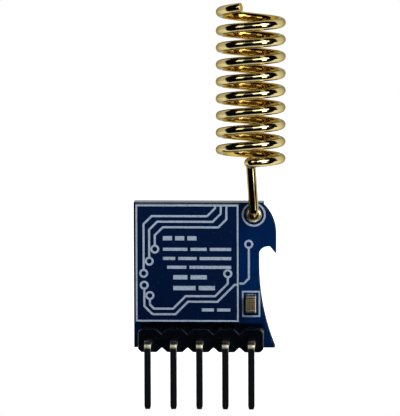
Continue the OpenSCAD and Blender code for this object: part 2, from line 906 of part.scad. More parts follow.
module all_lands() {
    for (s = [-1, 1])
        centred_rectangle(cap_x, cap_z + s * (cap_len - cap_end + cap_land) / 2,
            cap_w, cap_end + cap_land);
    chip_land_rows(controller_x, controller_z, controller_w);
    chip_land_rows(transceiver_x, transceiver_z, transceiver_w);
    case_lands(crystal_x, crystal_z, crystal_len, crystal_w);
    case_lands(clock_x, clock_z, clock_len, clock_w);
    coil_places() part_end_pair();
    bypass_places() part_end_pair();
    bias_places() part_end_pair();
}

module copper_lands() {
    color("gold") slab(face_y, mask_t) all_lands();
}

circuit_board();
front_coating();
back_coating();
pin_plating();
antenna_plating();
board_print();
ground_strip();
shield_cover();
cover_print();
header_block();
pin_1();
pin_2();
pin_3();
pin_4();
pin_5();
pin_solder_1();
pin_solder_2();
pin_solder_3();
pin_solder_4();
pin_solder_5();
antenna();
antenna_solder();
capacitor_body();
capacitor_ends();
capacitor_solder();
controller_chip();
transceiver_chip();
copper_lands();
crystal_base();
crystal_lid();
clock_base();
clock_lid();
aerial_switch();
matching_coils();
bypass_capacitors();
bias_resistors();
chip_part_ends();
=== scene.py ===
"""Looks of a small radio module that stands on its pins, with a wound spring antenna.

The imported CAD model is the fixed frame. New pieces are surfaces worked out with numpy in
millimetres, in the frame's own axes: X to the right, Y away from the viewer, Z up.
"""

from __future__ import annotations

import logging
import math
from dataclasses import dataclass
from enum import Enum

import bpy
import numpy as np
from bpy.types import Material, Node, NodeOutputs, NodeSocket, NodeTree, Object
from mathutils import Matrix, Vector

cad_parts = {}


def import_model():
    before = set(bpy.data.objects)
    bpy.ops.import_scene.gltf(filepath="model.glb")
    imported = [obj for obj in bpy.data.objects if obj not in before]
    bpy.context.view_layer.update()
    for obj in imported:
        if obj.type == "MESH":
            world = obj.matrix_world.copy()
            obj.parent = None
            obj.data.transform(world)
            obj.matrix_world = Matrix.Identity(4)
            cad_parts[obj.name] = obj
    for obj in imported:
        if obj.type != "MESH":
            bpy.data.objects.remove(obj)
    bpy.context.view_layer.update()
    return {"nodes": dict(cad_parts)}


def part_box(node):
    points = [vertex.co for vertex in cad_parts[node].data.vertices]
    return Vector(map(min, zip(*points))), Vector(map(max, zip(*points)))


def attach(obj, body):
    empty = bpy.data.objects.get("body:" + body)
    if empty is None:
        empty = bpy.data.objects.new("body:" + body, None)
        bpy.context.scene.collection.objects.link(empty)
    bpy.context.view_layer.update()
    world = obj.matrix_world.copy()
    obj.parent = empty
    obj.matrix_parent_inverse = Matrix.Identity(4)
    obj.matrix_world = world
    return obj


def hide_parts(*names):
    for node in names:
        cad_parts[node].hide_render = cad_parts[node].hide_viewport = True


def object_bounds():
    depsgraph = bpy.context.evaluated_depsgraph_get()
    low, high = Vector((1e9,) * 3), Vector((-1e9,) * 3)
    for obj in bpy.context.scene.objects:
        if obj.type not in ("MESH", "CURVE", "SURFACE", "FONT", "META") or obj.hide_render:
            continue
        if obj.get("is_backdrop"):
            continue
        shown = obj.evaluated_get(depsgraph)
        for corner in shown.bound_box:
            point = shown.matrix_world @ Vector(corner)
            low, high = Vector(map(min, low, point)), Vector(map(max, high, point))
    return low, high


LOG = logging.getLogger("radio_module")
MM = 0.001
ROOT = "root"
PHOTO_WIDTH, PHOTO_HEIGHT = 400, 416
PIXELS_PER_MM = 10.2
PINS = 5
WHITE = (1.0, 1.0, 1.0, 1.0)
BEVEL_STEPS = 3
CLOUD_CONTRAST = 1.6
FINE_LINES = 2.0
LINE_MARGIN = 0.3

Pair = tuple[float, float]
Triple = tuple[float, float, float]
Colour = tuple[float, float, float, float]
Faces = list[tuple[int, ...]]


def srgb(red: float, green: float, blue: float) -> Colour:
    """Turns a colour as seen on a screen into the linear values that shaders use.

    Args:
        red: Red, from 0 to 255.
        green: Green, from 0 to 255.
        blue: Blue, from 0 to 255.

    Returns:
        Linear red, green, blue and a full alpha.
    """
    seen = np.array([red, green, blue]) / 255.0
    linear = np.where(seen <= 0.04045, seen / 12.92, ((seen + 0.055) / 1.055) ** 2.4)
    return (float(linear[0]), float(linear[1]), float(linear[2]), 1.0)


def unit(rows: np.ndarray) -> np.ndarray:
    """Returns the vectors in the last axis of rows, each at length one."""
    return rows / np.linalg.norm(rows, axis=-1, keepdims=True)


@dataclass
class Surface:
    """A surface as whole arrays.

    Points are rows of X, Y and Z in millimetres, faces are point numbers in order round each
    face, and uv has one pair a point, or is None for a surface that needs none.
    """

    points: np.ndarray
    faces: Faces
    uv: np.ndarray | None = None

    def joined(self, other: Surface) -> Surface:
        """Puts this surface and another together as separate shells, without UV pairs.

        Args:
            other: The other surface.

        Returns:
            Both as one.
        """
        shift = len(self.points)
        moved = [tuple(i + shift for i in face) for face in other.faces]
        return Surface(np.vstack([self.points, other.points]), self.faces + moved)

    def piece(self, name: str, finish: Material, sharp: float = 35.0) -> Object:
        """Makes the surface an object at the origin, in metres, shaded smooth between its edges.

        Args:
            name: Name of the piece.
            finish: Material of the whole piece.
            sharp: Faces that meet at more than so many degrees keep a sharp edge.

        Returns:
            The new object.
        """
        mesh = bpy.data.meshes.new(name)
        mesh.from_pydata((self.points * MM).tolist(), [], self.faces)
        if self.uv is not None:
            layer = mesh.uv_layers.new(name="along")
            corner_points = np.empty(len(mesh.loops), dtype=np.int32)
            mesh.loops.foreach_get("vertex_index", corner_points)
            layer.data.foreach_set("uv", self.uv[corner_points].astype(np.float32).ravel())
        mesh.polygons.foreach_set("use_smooth", [True] * len(mesh.polygons))
        mesh.set_sharp_from_angle(angle=math.radians(sharp))
        mesh.materials.append(finish)
        mesh.validate()
        mesh.update()
        shape = bpy.data.objects.new(name, mesh)
        bpy.context.scene.collection.objects.link(shape)
        return shape


def tube_faces(rings: int, sides: int) -> Faces:
    """Four-sided faces between neighbouring rings of points, and a flat face over each end.

    Args:
        rings: Number of rings, each closed on itself.
        sides: Points in a ring.

    Returns:
        Point numbers of each face, turned outwards.
    """
    ring, side = np.meshgrid(np.arange(rings - 1), np.arange(sides), indexing="ij")
    following = (side + 1) % sides
    corners = [ring * sides + side, ring * sides + following,
               (ring + 1) * sides + following, (ring + 1) * sides + side]
    walls = [tuple(row) for row in np.stack(corners, axis=-1).reshape(-1, 4).tolist()]
    first = tuple(range(sides - 1, -1, -1))
    last = tuple(range((rings - 1) * sides, rings * sides))
    return walls + [first, last]


def stacked(rings: list[np.ndarray]) -> Surface:
    """Joins rings of points one after another and closes both ends.

    Args:
        rings: Rows of points, as many in each ring, anticlockwise for someone whom the
            stack comes towards.

    Returns:
        A closed surface.
    """
    return Surface(np.vstack(rings), tube_faces(len(rings), len(rings[0])))


def swept(path: np.ndarray, section: np.ndarray, across: np.ndarray, scale: np.ndarray) -> Surface:
    """Carries a closed section along a path: point = path + scale * (x * side + y * over).

    Args:
        path: Middle of each ring, in millimetres.
        section: The section's points as pairs, anticlockwise seen along the path's end.
        across: For each ring a direction that isn't along the path; it sets the roll.
        scale: For each ring the size of the section.

    Returns:
        A closed tube with UV pairs of the length along it and the turn round it.
    """
    way = unit(np.gradient(path, axis=0))
    side = unit(across - np.sum(across * way, axis=1, keepdims=True) * way)
    over = np.cross(way, side)
    x, y = section[:, 0], section[:, 1]
    rings, sides = len(path), len(section)
    offset = side[:, None, :] * x[None, :, None] + over[:, None, :] * y[None, :, None]
    points = (path[:, None, :] + scale[:, None, None] * offset).reshape(-1, 3)
    steps = np.linalg.norm(np.diff(path, axis=0), axis=1)
    along = np.concatenate([[0.0], np.cumsum(steps)])
    turn = np.linspace(0.0, 1.0, sides, endpoint=False)
    uv = np.stack(np.broadcast_arrays(along[:, None], turn[None, :]), axis=-1).reshape(-1, 2)
    return Surface(points, tube_faces(rings, sides), uv)


def turned(profile: np.ndarray, centre: np.ndarray, sides: int, waves: float) -> Surface:
    """Turns a profile round an axis along Y through centre.

    Args:
        profile: Rows of radius and distance along Y, from the back to the front.
        centre: Point on the axis.
        sides: Steps round the axis.
        waves: Share of the radius by which the surface is uneven.

    Returns:
        A closed surface of turning.
    """
    angle = np.linspace(0.0, 2 * np.pi, sides, endpoint=False)
    uneven = 1.0 + waves * (np.sin(2 * angle + 0.7) + 0.6 * np.sin(3 * angle + 2.1)) / 1.6
    rings = [np.stack([radius * uneven * np.cos(angle), np.full(sides, along),
                       radius * uneven * np.sin(angle)], axis=1) + centre
             for radius, along in profile]
    return stacked(rings)


def circle_section(sides: int) -> np.ndarray:
    """Returns a circle of radius one as pairs: cosine and sine of even steps."""
    angle = np.linspace(0.0, 2 * np.pi, sides, endpoint=False)
    return np.stack([np.cos(angle), np.sin(angle)], axis=1)


def quarter_turn(steps: int) -> np.ndarray:
    """Returns the angles from 0 to a quarter turn, in so many even steps."""
    return np.linspace(0.0, np.pi / 2, steps + 1)


def rounded_rectangle(x0: float, y0: float, x1: float, y1: float, radius: float,
                      steps: int = 4) -> np.ndarray:
    """A rectangle with round corners: each corner is a quarter circle about its own centre.

    Args:
        x0: Left edge.
        y0: Lower edge.
        x1: Right edge.
        y1: Upper edge.
        radius: Radius of the corners.
        steps: Steps in a corner.

    Returns:
        Pairs, anticlockwise from the upper right corner.
    """
    arc = quarter_turn(steps)
    corners = []
    for quarter, (x, y) in enumerate([(x1, y1), (x0, y1), (x0, y0), (x1, y0)]):
        angle = arc + quarter * np.pi / 2
        middle_x = x - radius * math.copysign(1, x - (x0 + x1) / 2)
        middle_y = y - radius * math.copysign(1, y - (y0 + y1) / 2)
        corners.append(np.stack([middle_x + radius * np.cos(angle),
                                 middle_y + radius * np.sin(angle)], axis=1))
    return np.vstack(corners)


def upright(pairs: np.ndarray, y: float) -> np.ndarray:
    """Stands pairs of X and Z up as points at one Y."""
    return np.stack([pairs[:, 0], np.full(len(pairs), y), pairs[:, 1]], axis=1)


def prism(outline: np.ndarray, front: float, back: float) -> Surface:
    """Carries an outline in X and Z straight through from back to front.

    Args:
        outline: Pairs of X and Z, anticlockwise seen from the front.
        front: Y of the front face.
        back: Y of the back face.

    Returns:
        A closed prism.
    """
    return stacked([upright(outline, back), upright(outline, front)])


def round_edges(shape: Object, width: float) -> None:
    """Rounds the sharp edges of a piece.

    Args:
        shape: The piece.
        width: Width of the rounding in millimetres.
    """
    bevel = shape.modifiers.new("rounded_edges", "BEVEL")
    bevel.width = width * MM
    bevel.segments = BEVEL_STEPS
    bevel.limit_method = "ANGLE"
    bevel.harden_normals = True


def curve_points(a: np.ndarray, b: np.ndarray, c: np.ndarray, d: np.ndarray,
                 steps: int) -> np.ndarray:
    """Points of a smooth curve that leaves a towards b and reaches d from c (cubic Bezier).

    Args:
        a: First point.
        b: Point that the curve leaves towards.
        c: Point that it comes from at its end.
        d: Last point.
        steps: Steps in the curve.

    Returns:
        Points of the curve, with both its ends.
    """
    t = np.linspace(0.0, 1.0, steps + 1)[:, None]
    s = 1.0 - t
    return s**3 * a + 3 * s * s * t * b + 3 * s * t * t * c + t**3 * d


def bend_points(a: np.ndarray, p: np.ndarray, b: np.ndarray, radius: float,
                steps: int) -> np.ndarray:
    """Points of a round bend at corner p, on the way from a to b.

    Args:
        a: Point before the corner.
        p: The corner.
        b: Point after the corner.
        radius: Radius of the bend.
        steps: Steps in the bend.

    Returns:
        Points of the arc that touches both straight ways.
    """
    u, w = unit(a - p), unit(b - p)
    half = math.acos(float(u @ w)) / 2
    start = p + u * radius / math.tan(half)
    centre = p + unit(u + w) * radius / math.sin(half)
    arm = (start - centre) / radius
    turn = np.linspace(0.0, math.pi - 2 * half, steps + 1)[:, None]
    return centre + radius * (np.cos(turn) * arm - np.sin(turn) * u)


def line_of_sight(azimuth: float, elevation: float) -> Vector:
    """Returns the way from the object to an eye, for angles in radians."""
    return Vector((math.sin(azimuth) * math.cos(elevation),
                   -math.cos(azimuth) * math.cos(elevation), math.sin(elevation)))


def node_box(node: str) -> np.ndarray:
    """Returns the lowest and the highest corner of a CAD node, as rows in millimetres."""
    return np.array(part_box(node)) / MM


def board_faces() -> Pair:
    """Returns Y of the board's coated face and Y of its coated back, in millimetres."""
    return float(node_box("front_coating")[0][1]), float(node_box("back_coating")[1][1])


class NodePlan:
    """Places nodes in a material, world or group and links them."""

    def __init__(self, tree: NodeTree) -> None:
        """Keeps the tree that the nodes go into."""
        self.tree = tree

    def place(self, kind: str, inputs: dict | None = None, **settings: object) -> Node:
        """Adds a node.

        Args:
            kind: Blender's name of the node.
            inputs: For a socket's name or number, a value or another node's output.
            **settings: Properties of the node itself.

        Returns:
            The node.
        """
        node = self.tree.nodes.new(kind)
        for name, value in settings.items():
            setattr(node, name, value)
        self.feed(node, inputs or {})
        return node

    def feed(self, node: Node, inputs: dict) -> None:
        """Sets a node's sockets, or links them to an output.

        Args:
            node: The node.
            inputs: For a socket's name or number, a value or another node's output.
        """
        for socket, value in inputs.items():
            if isinstance(value, NodeSocket):
                self.tree.links.new(value, node.inputs[socket])
            else:
                node.inputs[socket].default_value = value

    def maths(self, operation: str, a: object, b: object = 0.0,
              clamp: bool = False) -> NodeSocket:
        """Returns the output of a Math node on a and b."""
        node = self.place("ShaderNodeMath", {0: a, 1: b}, operation=operation, use_clamp=clamp)
        return node.outputs[0]

    def blend(self, share: object, a: object, b: object) -> NodeSocket:
        """Returns a colour that goes from a to b as share goes from 0 to 1."""
        node = self.place("ShaderNodeMix", {0: share, 6: a, 7: b}, data_type="RGBA")
        return node.outputs[2]

    def times(self, a: object, b: object) -> NodeSocket:
        """Returns a times b."""
        return self.maths("MULTIPLY", a, b)

    def between(self, value: object, low: float, high: float, to_low: object = 0.0,
                to_high: object = 1.0) -> NodeSocket:
        """Returns value stretched from low..high to to_low..to_high, and held there."""
        node = self.place("ShaderNodeMapRange", {0: value, 1: low, 2: high, 3: to_low, 4: to_high})
        return node.outputs[0]

    def fading(self, value: object, low: float, high: float) -> NodeSocket:
        """Returns 1 where value is under low, falling to 0 where it is over high."""
        return self.between(value, low, high, 1.0, 0.0)

    def apart(self, a: object, b: object) -> NodeSocket:
        """Returns how far a and b are apart."""
        return self.maths("ABSOLUTE", self.maths("SUBTRACT", a, b))

    def axes(self, source: NodeSocket) -> NodeOutputs:
        """Returns the outputs X, Y and Z of a vector."""
        return self.place("ShaderNodeSeparateXYZ", {0: source}).outputs


class SharedEffects:
    """Shader groups that several finishes use, each built once."""

    broad_share: float = 0.7
    fine_ratio: float = 7.0
    touched: Pair = (0.5, 0.72)

    def __init__(self) -> None:
        """Builds the groups."""
        self.mottle = self._mottle()
        self.smudges = self._smudges()

    @staticmethod
    def _group(name: str, inputs: dict[str, float]) -> tuple:
        """Starts a group with a Position input, number inputs and an output named Value.

        Args:
            name: Name of the group.
            inputs: Default of each number input.

        Returns:
            The group, its plan, its input node and its output node.
        """
        group = bpy.data.node_groups.new(name, "ShaderNodeTree")
        group.interface.new_socket("Position", in_out="INPUT", socket_type="NodeSocketVector")
        for key, value in inputs.items():
            socket = group.interface.new_socket(key, in_out="INPUT", socket_type="NodeSocketFloat")
            socket.default_value = value
        group.interface.new_socket("Value", in_out="OUTPUT", socket_type="NodeSocketFloat")
        plan = NodePlan(group)
        return group, plan, plan.place("NodeGroupInput"), plan.place("NodeGroupOutput")

    def _mottle(self) -> NodeTree:
        """Cloudy unevenness: two noises of different size, as a value from 0 to 1.

        Returns:
            The group.
        """
        group, plan, given, out = self._group("mottle", {"Scale": 1.0, "Contrast": 1.0})
        position, scale = given.outputs["Position"], given.outputs["Scale"]
        broad = plan.place("ShaderNodeTexNoise", {"Vector": position, "Scale": scale,
                                                  "Detail": 5.0})
        fine = plan.place("ShaderNodeTexNoise", {"Vector": position, "Detail": 3.0,
                                                 "Scale": plan.times(scale, self.fine_ratio)})
        both = plan.maths("ADD", plan.times(broad.outputs["Fac"], self.broad_share),
                          plan.times(fine.outputs["Fac"], 1.0 - self.broad_share))
        centred = plan.times(plan.maths("SUBTRACT", both, 0.5), given.outputs["Contrast"])
        plan.feed(out, {"Value": plan.maths("ADD", centred, 0.5, clamp=True)})
        return group

    def _smudges(self) -> NodeTree:
        """Smudges of handling where a broad noise is high, as a value from 0 to 1.

        Returns:
            The group.
        """
        group, plan, given, out = self._group("smudges", {"Scale": 1.0})
        broad = plan.place("ShaderNodeTexNoise", {"Vector": given.outputs["Position"],
                                                  "Scale": given.outputs["Scale"],
                                                  "Detail": 4.0, "Distortion": 0.6})
        plan.feed(out, {"Value": plan.between(broad.outputs["Fac"], *self.touched)})
        return group


class Recipe(NodePlan):
    """One material's tree, with places in millimetres on the object and its main shader."""

    def __init__(self, name: str, effects: SharedEffects) -> None:
        """Starts the material.

        Args:
            name: Name of the material.
            effects: The shared groups.
        """
        self.material = bpy.data.materials.new(name)
        self.material.use_nodes = True
        super().__init__(self.material.node_tree)
        self.effects = effects
        self.shader = self.tree.nodes["Principled BSDF"]
        where = self.place("ShaderNodeTexCoord").outputs
        in_mm = self.place("ShaderNodeMapping", {"Vector": where["Object"], "Scale": (1 / MM,) * 3})
        self.position = in_mm.outputs[0]
        self.along = where["UV"]
        self.facing = where["Normal"]

    def group(self, tree: NodeTree, **values: object) -> NodeSocket:
        """Places a shared group on the object's millimetres and returns its value."""
        inputs = {"Position": self.position, **values}
        return self.place("ShaderNodeGroup", inputs, node_tree=tree).outputs[0]

    def mottle(self, scale: float, contrast: float = 1.0) -> NodeSocket:
        """Returns the cloudy value at a scale of so many clouds a millimetre."""
        return self.group(self.effects.mottle, Scale=scale, Contrast=contrast)

    def smudged(self, gloss: NodeSocket, scale: float,
                dulling: float) -> NodeSocket:
        """Returns a roughness that rises by dulling where the piece was touched."""
        smudges = self.group(self.effects.smudges, Scale=scale)
        return self.maths("ADD", gloss, self.times(smudges, dulling))

    def stretched(self, source: NodeSocket, scale: Triple,
                  detail: float = FINE_LINES) -> NodeSocket:
        """Noise with its own scale along each axis, as on drawn or woven stock.

        Args:
            source: Places that the noise is read at.
            scale: Scale along each axis.
            detail: Layers of finer noise.

        Returns:
            A value from 0 to 1.
        """
        mapped = self.place("ShaderNodeMapping", {"Vector": source, "Scale": scale})
        noise = self.place("ShaderNodeTexNoise", {"Vector": mapped.outputs[0], "Scale": 1.0,
                                                  "Detail": detail})
        return noise.outputs["Fac"]

    def set(self, **values: object) -> None:
        """Sets or links the shader's sockets; words in a name are joined with underscores."""
        self.feed(self.shader, {name.replace("_", " "): value for name, value in values.items()})

    def relief(self, height: NodeSocket, depth_mm: float) -> None:
        """Feeds a height through a Bump node to the shader's normal."""
        bump = self.place("ShaderNodeBump", {"Height": height, "Distance": depth_mm * MM,
                                             "Strength": 1.0})
        self.set(Normal=bump.outputs[0])


@dataclass(frozen=True)
class Finish:
    """A finish with a colour, a second colour that it drifts to, and its gloss.

    The rim tints its mirroring at the edges, and faces along X can take a paler colour, a painted
    highlight.
    Scale is clouds a millimetre, the fine grain is grain_ratio times as dense, and smudges
    raise the roughness by dulling. Where a mask is given as a pair, it changes between both.
    """

    colour: Colour
    drift: Colour
    roughness: Pair
    metallic: float = 0.0
    specular: float = 0.5
    scale: float = 1.0
    relief_mm: float = 0.002
    rim: Colour = WHITE
    side_highlight: Colour | None = None
    highlight_facing: Pair = (0.2, 0.6)
    grain_ratio: float = 9.0
    grain_contrast: float = 1.4
    dulling: float = 0.06

    def build(self, name: str, effects: SharedEffects) -> Material:
        """Makes the material.

        Args:
            name: Name of the material.
            effects: The shared groups.

        Returns:
            The material.
        """
        recipe = Recipe(name, effects)
        self.mix(recipe)
        return recipe.material

    def gloss(self, recipe: Recipe, noise: NodeSocket, margin: float = 0.2) -> NodeSocket:
        """Returns the roughness, which runs through its range between the noise's margins."""
        return recipe.between(noise, margin, 1.0 - margin, *self.roughness)

    def mix(self, recipe: Recipe) -> None:
        """Mixes drifting colour, uneven gloss, smudges and fine relief.

        Args:
            recipe: The material's tree.
        """
        cloud = recipe.mottle(self.scale, CLOUD_CONTRAST)
        tone = recipe.blend(cloud, self.colour, self.drift)
        # Painted highlight: faces along X are painted paler.
        if self.side_highlight:
            aside = recipe.maths("ABSOLUTE", recipe.axes(recipe.facing)["X"])
            tone = recipe.blend(recipe.between(aside, *self.highlight_facing), tone, self.side_highlight)
        recipe.set(Base_Color=tone, Metallic=self.metallic, Specular_Tint=self.rim,
                   Specular_IOR_Level=self.specular,
                   Roughness=recipe.smudged(self.gloss(recipe, cloud), self.scale, self.dulling))
        recipe.relief(recipe.mottle(self.scale * self.grain_ratio, self.grain_contrast),
                      self.relief_mm)


@dataclass(frozen=True)
class WireGold(Finish):
    """Gold plate on drawn spring wire: bright, with faint lines along the wire.

    The straight lead's front is painted in dark brown streaks, a painted shade that dims the lamps'
    highlight there, and the rest of the lead is painted paler, a painted sheen. The coil's inner
    side, which lies at the same turn round the wire as the lead's front, is painted a warmer,
    darker gold, a painted shade for the light that bounces between the turns. The lead ends, in
    millimetres along the wire, at lead_end, and the masks round the wire are shares of a turn away
    from front_turn.
    """

    lead_end: Pair = (7.5, 8.5)
    front_turn: float = 0.75
    front_shade_turns: Pair = (0.13, 0.2)
    inner_shade_turns: Pair = (0.12, 0.26)
    lead_front_shade: Colour = srgb(80, 62, 28)
    lead_sheen: Colour = srgb(232, 219, 172)
    inner: Colour = srgb(190, 156, 72)
    drawn_lines: Triple = (0.35, 46.0, 1.0)
    shade_streak_lines: Triple = (0.4, 16.0, 1.0)
    streaked: Pair = (0.38, 0.54)
    least_shaded: float = 0.6
    patch_contrast: float = 1.5
    lead_dulling: float = 0.04
    smudge_scale: float = 1.4
    smudge_dulling: float = 0.07

    def mix(self, recipe: Recipe) -> None:
        """Mixes the finish over the wire's own length and turn.

        Args:
            recipe: The material's tree.
        """
        lines = recipe.stretched(recipe.along, self.drawn_lines)
        place = recipe.axes(recipe.along)
        lead = recipe.fading(place["X"], *self.lead_end)
        aside = recipe.apart(place["Y"], self.front_turn)
        patches = recipe.mottle(self.scale, self.patch_contrast)
        # Painted shade: the coil's inner side is painted a warmer, darker gold.
        gold_with_inner_shade = recipe.blend(recipe.fading(aside, *self.inner_shade_turns),
                             recipe.blend(patches, self.colour, self.drift), self.inner)
        # Painted shade on the lead's front in brown streaks, and a painted sheen: the rest of the
        # lead is paler.
        front = recipe.times(lead, recipe.fading(aside, *self.front_shade_turns))
        streaks = recipe.between(recipe.stretched(recipe.along, self.shade_streak_lines),
                                 *self.streaked, self.least_shaded)
        tone = recipe.blend(recipe.times(streaks, front),
                            recipe.blend(lead, gold_with_inner_shade, self.lead_sheen), self.lead_front_shade)
        gloss = recipe.maths("ADD", self.gloss(recipe, lines, LINE_MARGIN),
                             recipe.times(lead, self.lead_dulling))
        recipe.set(Base_Color=tone, Metallic=self.metallic, Specular_Tint=self.rim,
                   Roughness=recipe.smudged(gloss, self.smudge_scale, self.smudge_dulling))
        recipe.relief(lines, self.relief_mm)


@dataclass(frozen=True)
class LaminateEdge(Finish):
    """Cut edge of glass-fibre laminate: layers of cloth seen end on, and routing marks.

    The edges that face right are painted darker, a painted shade, and do not mirror.
    """

    right_side_shade: Colour = srgb(4, 20, 42)
    layer_lines: Triple = (0.5, 7.0, 0.5)
    layer_detail: float = 4.0
    layer_share: float = 0.6
    yarn_lines: Triple = (2.6, 16.0, 2.6)
    drifting: Pair = (0.36, 0.62)
    shaded_facing: Pair = (0.04, 0.3)

    def mix(self, recipe: Recipe) -> None:
        """Mixes layers across Y with streaks along the edge.

        Args:
            recipe: The material's tree.
        """
        layers = recipe.stretched(recipe.position, self.layer_lines, self.layer_detail)
        yarn = recipe.stretched(recipe.position, self.yarn_lines)
        cloth = recipe.maths("ADD", recipe.times(layers, self.layer_share),
                             recipe.times(yarn, 1.0 - self.layer_share))
        pale = recipe.blend(recipe.between(cloth, *self.drifting), self.colour, self.drift)
        # Painted shade: edges that face right are painted dark and lose their mirroring.
        faces_right = recipe.between(recipe.axes(recipe.facing)["X"], *self.shaded_facing)
        recipe.set(Base_Color=recipe.blend(faces_right, pale, self.right_side_shade),
                   Roughness=self.gloss(recipe, yarn, LINE_MARGIN),
                   Specular_IOR_Level=recipe.between(faces_right, 0.0, 1.0, self.specular, 0.0))
        recipe.relief(yarn, self.relief_mm)


@dataclass(frozen=True)
class BoardCoating(Finish):
    """Dark blue coating with the cloth's faint weave, with painted shade and reflection: it is
    brightest at a set height and painted darker away from it.

    It reaches its second colour at a distance of reach. On the board's face a painted shadow,
    nearly black, lies round the header: up to header_side and header_top, as far back as face_y.
    """

    weave_mm: float = 0.45
    weave_share: float = 0.25
    flow_scale: float = 2.4
    flow_margin: float = 0.25
    cloud_scale: float = 0.16
    cloud_contrast: float = 2.2
    cloud_share: float = 0.4
    painted_light_z: float = 7.5
    reach: float = 60.0
    header_side: Pair = (5.9, 6.2)
    header_top: Pair = (1.75, 2.0)
    face_y: Pair = (5.1, 5.2)
    painted_shadow: Colour = srgb(1, 3, 9)

    def mix(self, recipe: Recipe) -> None:
        """Mixes the coating from its painted shade and clouds, its painted shadow round the header
        and a woven relief.

        Args:
            recipe: The material's tree.
        """
        flow = recipe.mottle(self.flow_scale, CLOUD_CONTRAST)
        place = recipe.axes(recipe.position)
        # Painted shade and reflection: the colour drifts darker with distance from the brightest
        # height.
        away = recipe.maths("DIVIDE", recipe.apart(place["Z"], self.painted_light_z), self.reach)
        clouds = recipe.mottle(self.cloud_scale, self.cloud_contrast)
        shade_and_clouds = recipe.maths("ADD", away, recipe.times(clouds, self.cloud_share), clamp=True)
        # Painted shadow: the board's face round the header is painted nearly black.
        beside = recipe.fading(recipe.maths("ABSOLUTE", place["X"]), *self.header_side)
        under = recipe.fading(place["Z"], *self.header_top)
        in_front = recipe.fading(place["Y"], *self.face_y)
        shadow_strip = recipe.times(recipe.times(beside, under), in_front)
        tone = recipe.blend(shadow_strip, recipe.blend(shade_and_clouds, self.colour, self.drift), self.painted_shadow)
        recipe.set(Base_Color=tone, Specular_IOR_Level=self.specular,
                   Roughness=self.gloss(recipe, flow, self.flow_margin))
        step = 2 * math.pi / self.weave_mm
        warp = recipe.maths("SINE", recipe.times(place["X"], step))
        weft = recipe.maths("SINE", recipe.times(place["Z"], step))
        woven = recipe.times(recipe.times(warp, weft), self.weave_share)
        recipe.relief(recipe.maths("ADD", woven, flow), self.relief_mm)


@dataclass(frozen=True)
class PinMetal(Finish):
    """Dark plating on square wire, dulled at the bend by the bending tool, where a pale colour is a
    painted highlight.

    The dulling and the painted highlight set in over the heights bend_foot, and bend_rest of them
    is left above bend_top.
    """

    drawn_lines: Triple = (14.0, 14.0, 0.5)
    bend_foot: Pair = (-0.05, 0.1)
    bend_top: Pair = (0.35, 0.6)
    bend_rest: float = 0.2
    bend_dulling: float = 0.24
    bend_highlight: Colour = srgb(226, 222, 194)

    def mix(self, recipe: Recipe) -> None:
        """Mixes drawing lines down the leg with a dull bend that carries a painted highlight.

        Args:
            recipe: The material's tree.
        """
        lines = recipe.stretched(recipe.position, self.drawn_lines)
        height = recipe.axes(recipe.position)["Z"]
        bend = recipe.times(recipe.between(height, *self.bend_foot),
                            recipe.between(height, *self.bend_top, 1.0, self.bend_rest))
        tone = recipe.blend(recipe.mottle(self.scale, CLOUD_CONTRAST), self.colour, self.drift)
        gloss = recipe.maths("ADD", self.gloss(recipe, lines, LINE_MARGIN),
                             recipe.times(bend, self.bend_dulling))
        # Painted highlight: the bend is painted a pale cream.
        recipe.set(Base_Color=recipe.blend(bend, tone, self.bend_highlight), Metallic=self.metallic,
                   Specular_Tint=self.rim, Roughness=gloss)
        recipe.relief(lines, self.relief_mm)


@dataclass(frozen=True)
class PrintInk(Finish):
    """Screen-printed ink: nearly even, with thin spots where the coating shows through."""

    spot_scale: float = 5.0
    spot_contrast: float = 2.0
    thin: Pair = (0.12, 0.5)
    gloss_scale: float = 9.0
    grain_scale: float = 14.0

    def mix(self, recipe: Recipe) -> None:
        """Mixes the ink with its thin spots.

        Args:
            recipe: The material's tree.
        """
        thin = recipe.fading(recipe.mottle(self.spot_scale, self.spot_contrast), *self.thin)
        recipe.set(Base_Color=recipe.blend(thin, self.colour, self.drift),
                   Roughness=self.gloss(recipe, recipe.mottle(self.gloss_scale)),
                   Specular_IOR_Level=self.specular)
        recipe.relief(recipe.mottle(self.grain_scale, CLOUD_CONTRAST), self.relief_mm)


class Slot(Enum):
    """The finishes, by the record's material slots."""

    LAMINATE = "glass_fibre"
    COATING = "blue_coating"
    COVER = "cover_coating"
    PRINT = "white_print"
    PLATING = "gold_plating"
    MOULDING = "black_moulding"
    PIN = "pin_metal"
    SOLDER = "solder"
    WIRE = "antenna_gold"
    WIRE_SOLDER = "antenna_solder"
    CERAMIC = "capacitor_ceramic"
    TIN = "tin_plating"
    CHIP = "chip_moulding"
    CRYSTAL = "crystal_ceramic"
    COIL = "coil_ceramic"
    GLAZE = "resistor_glaze"


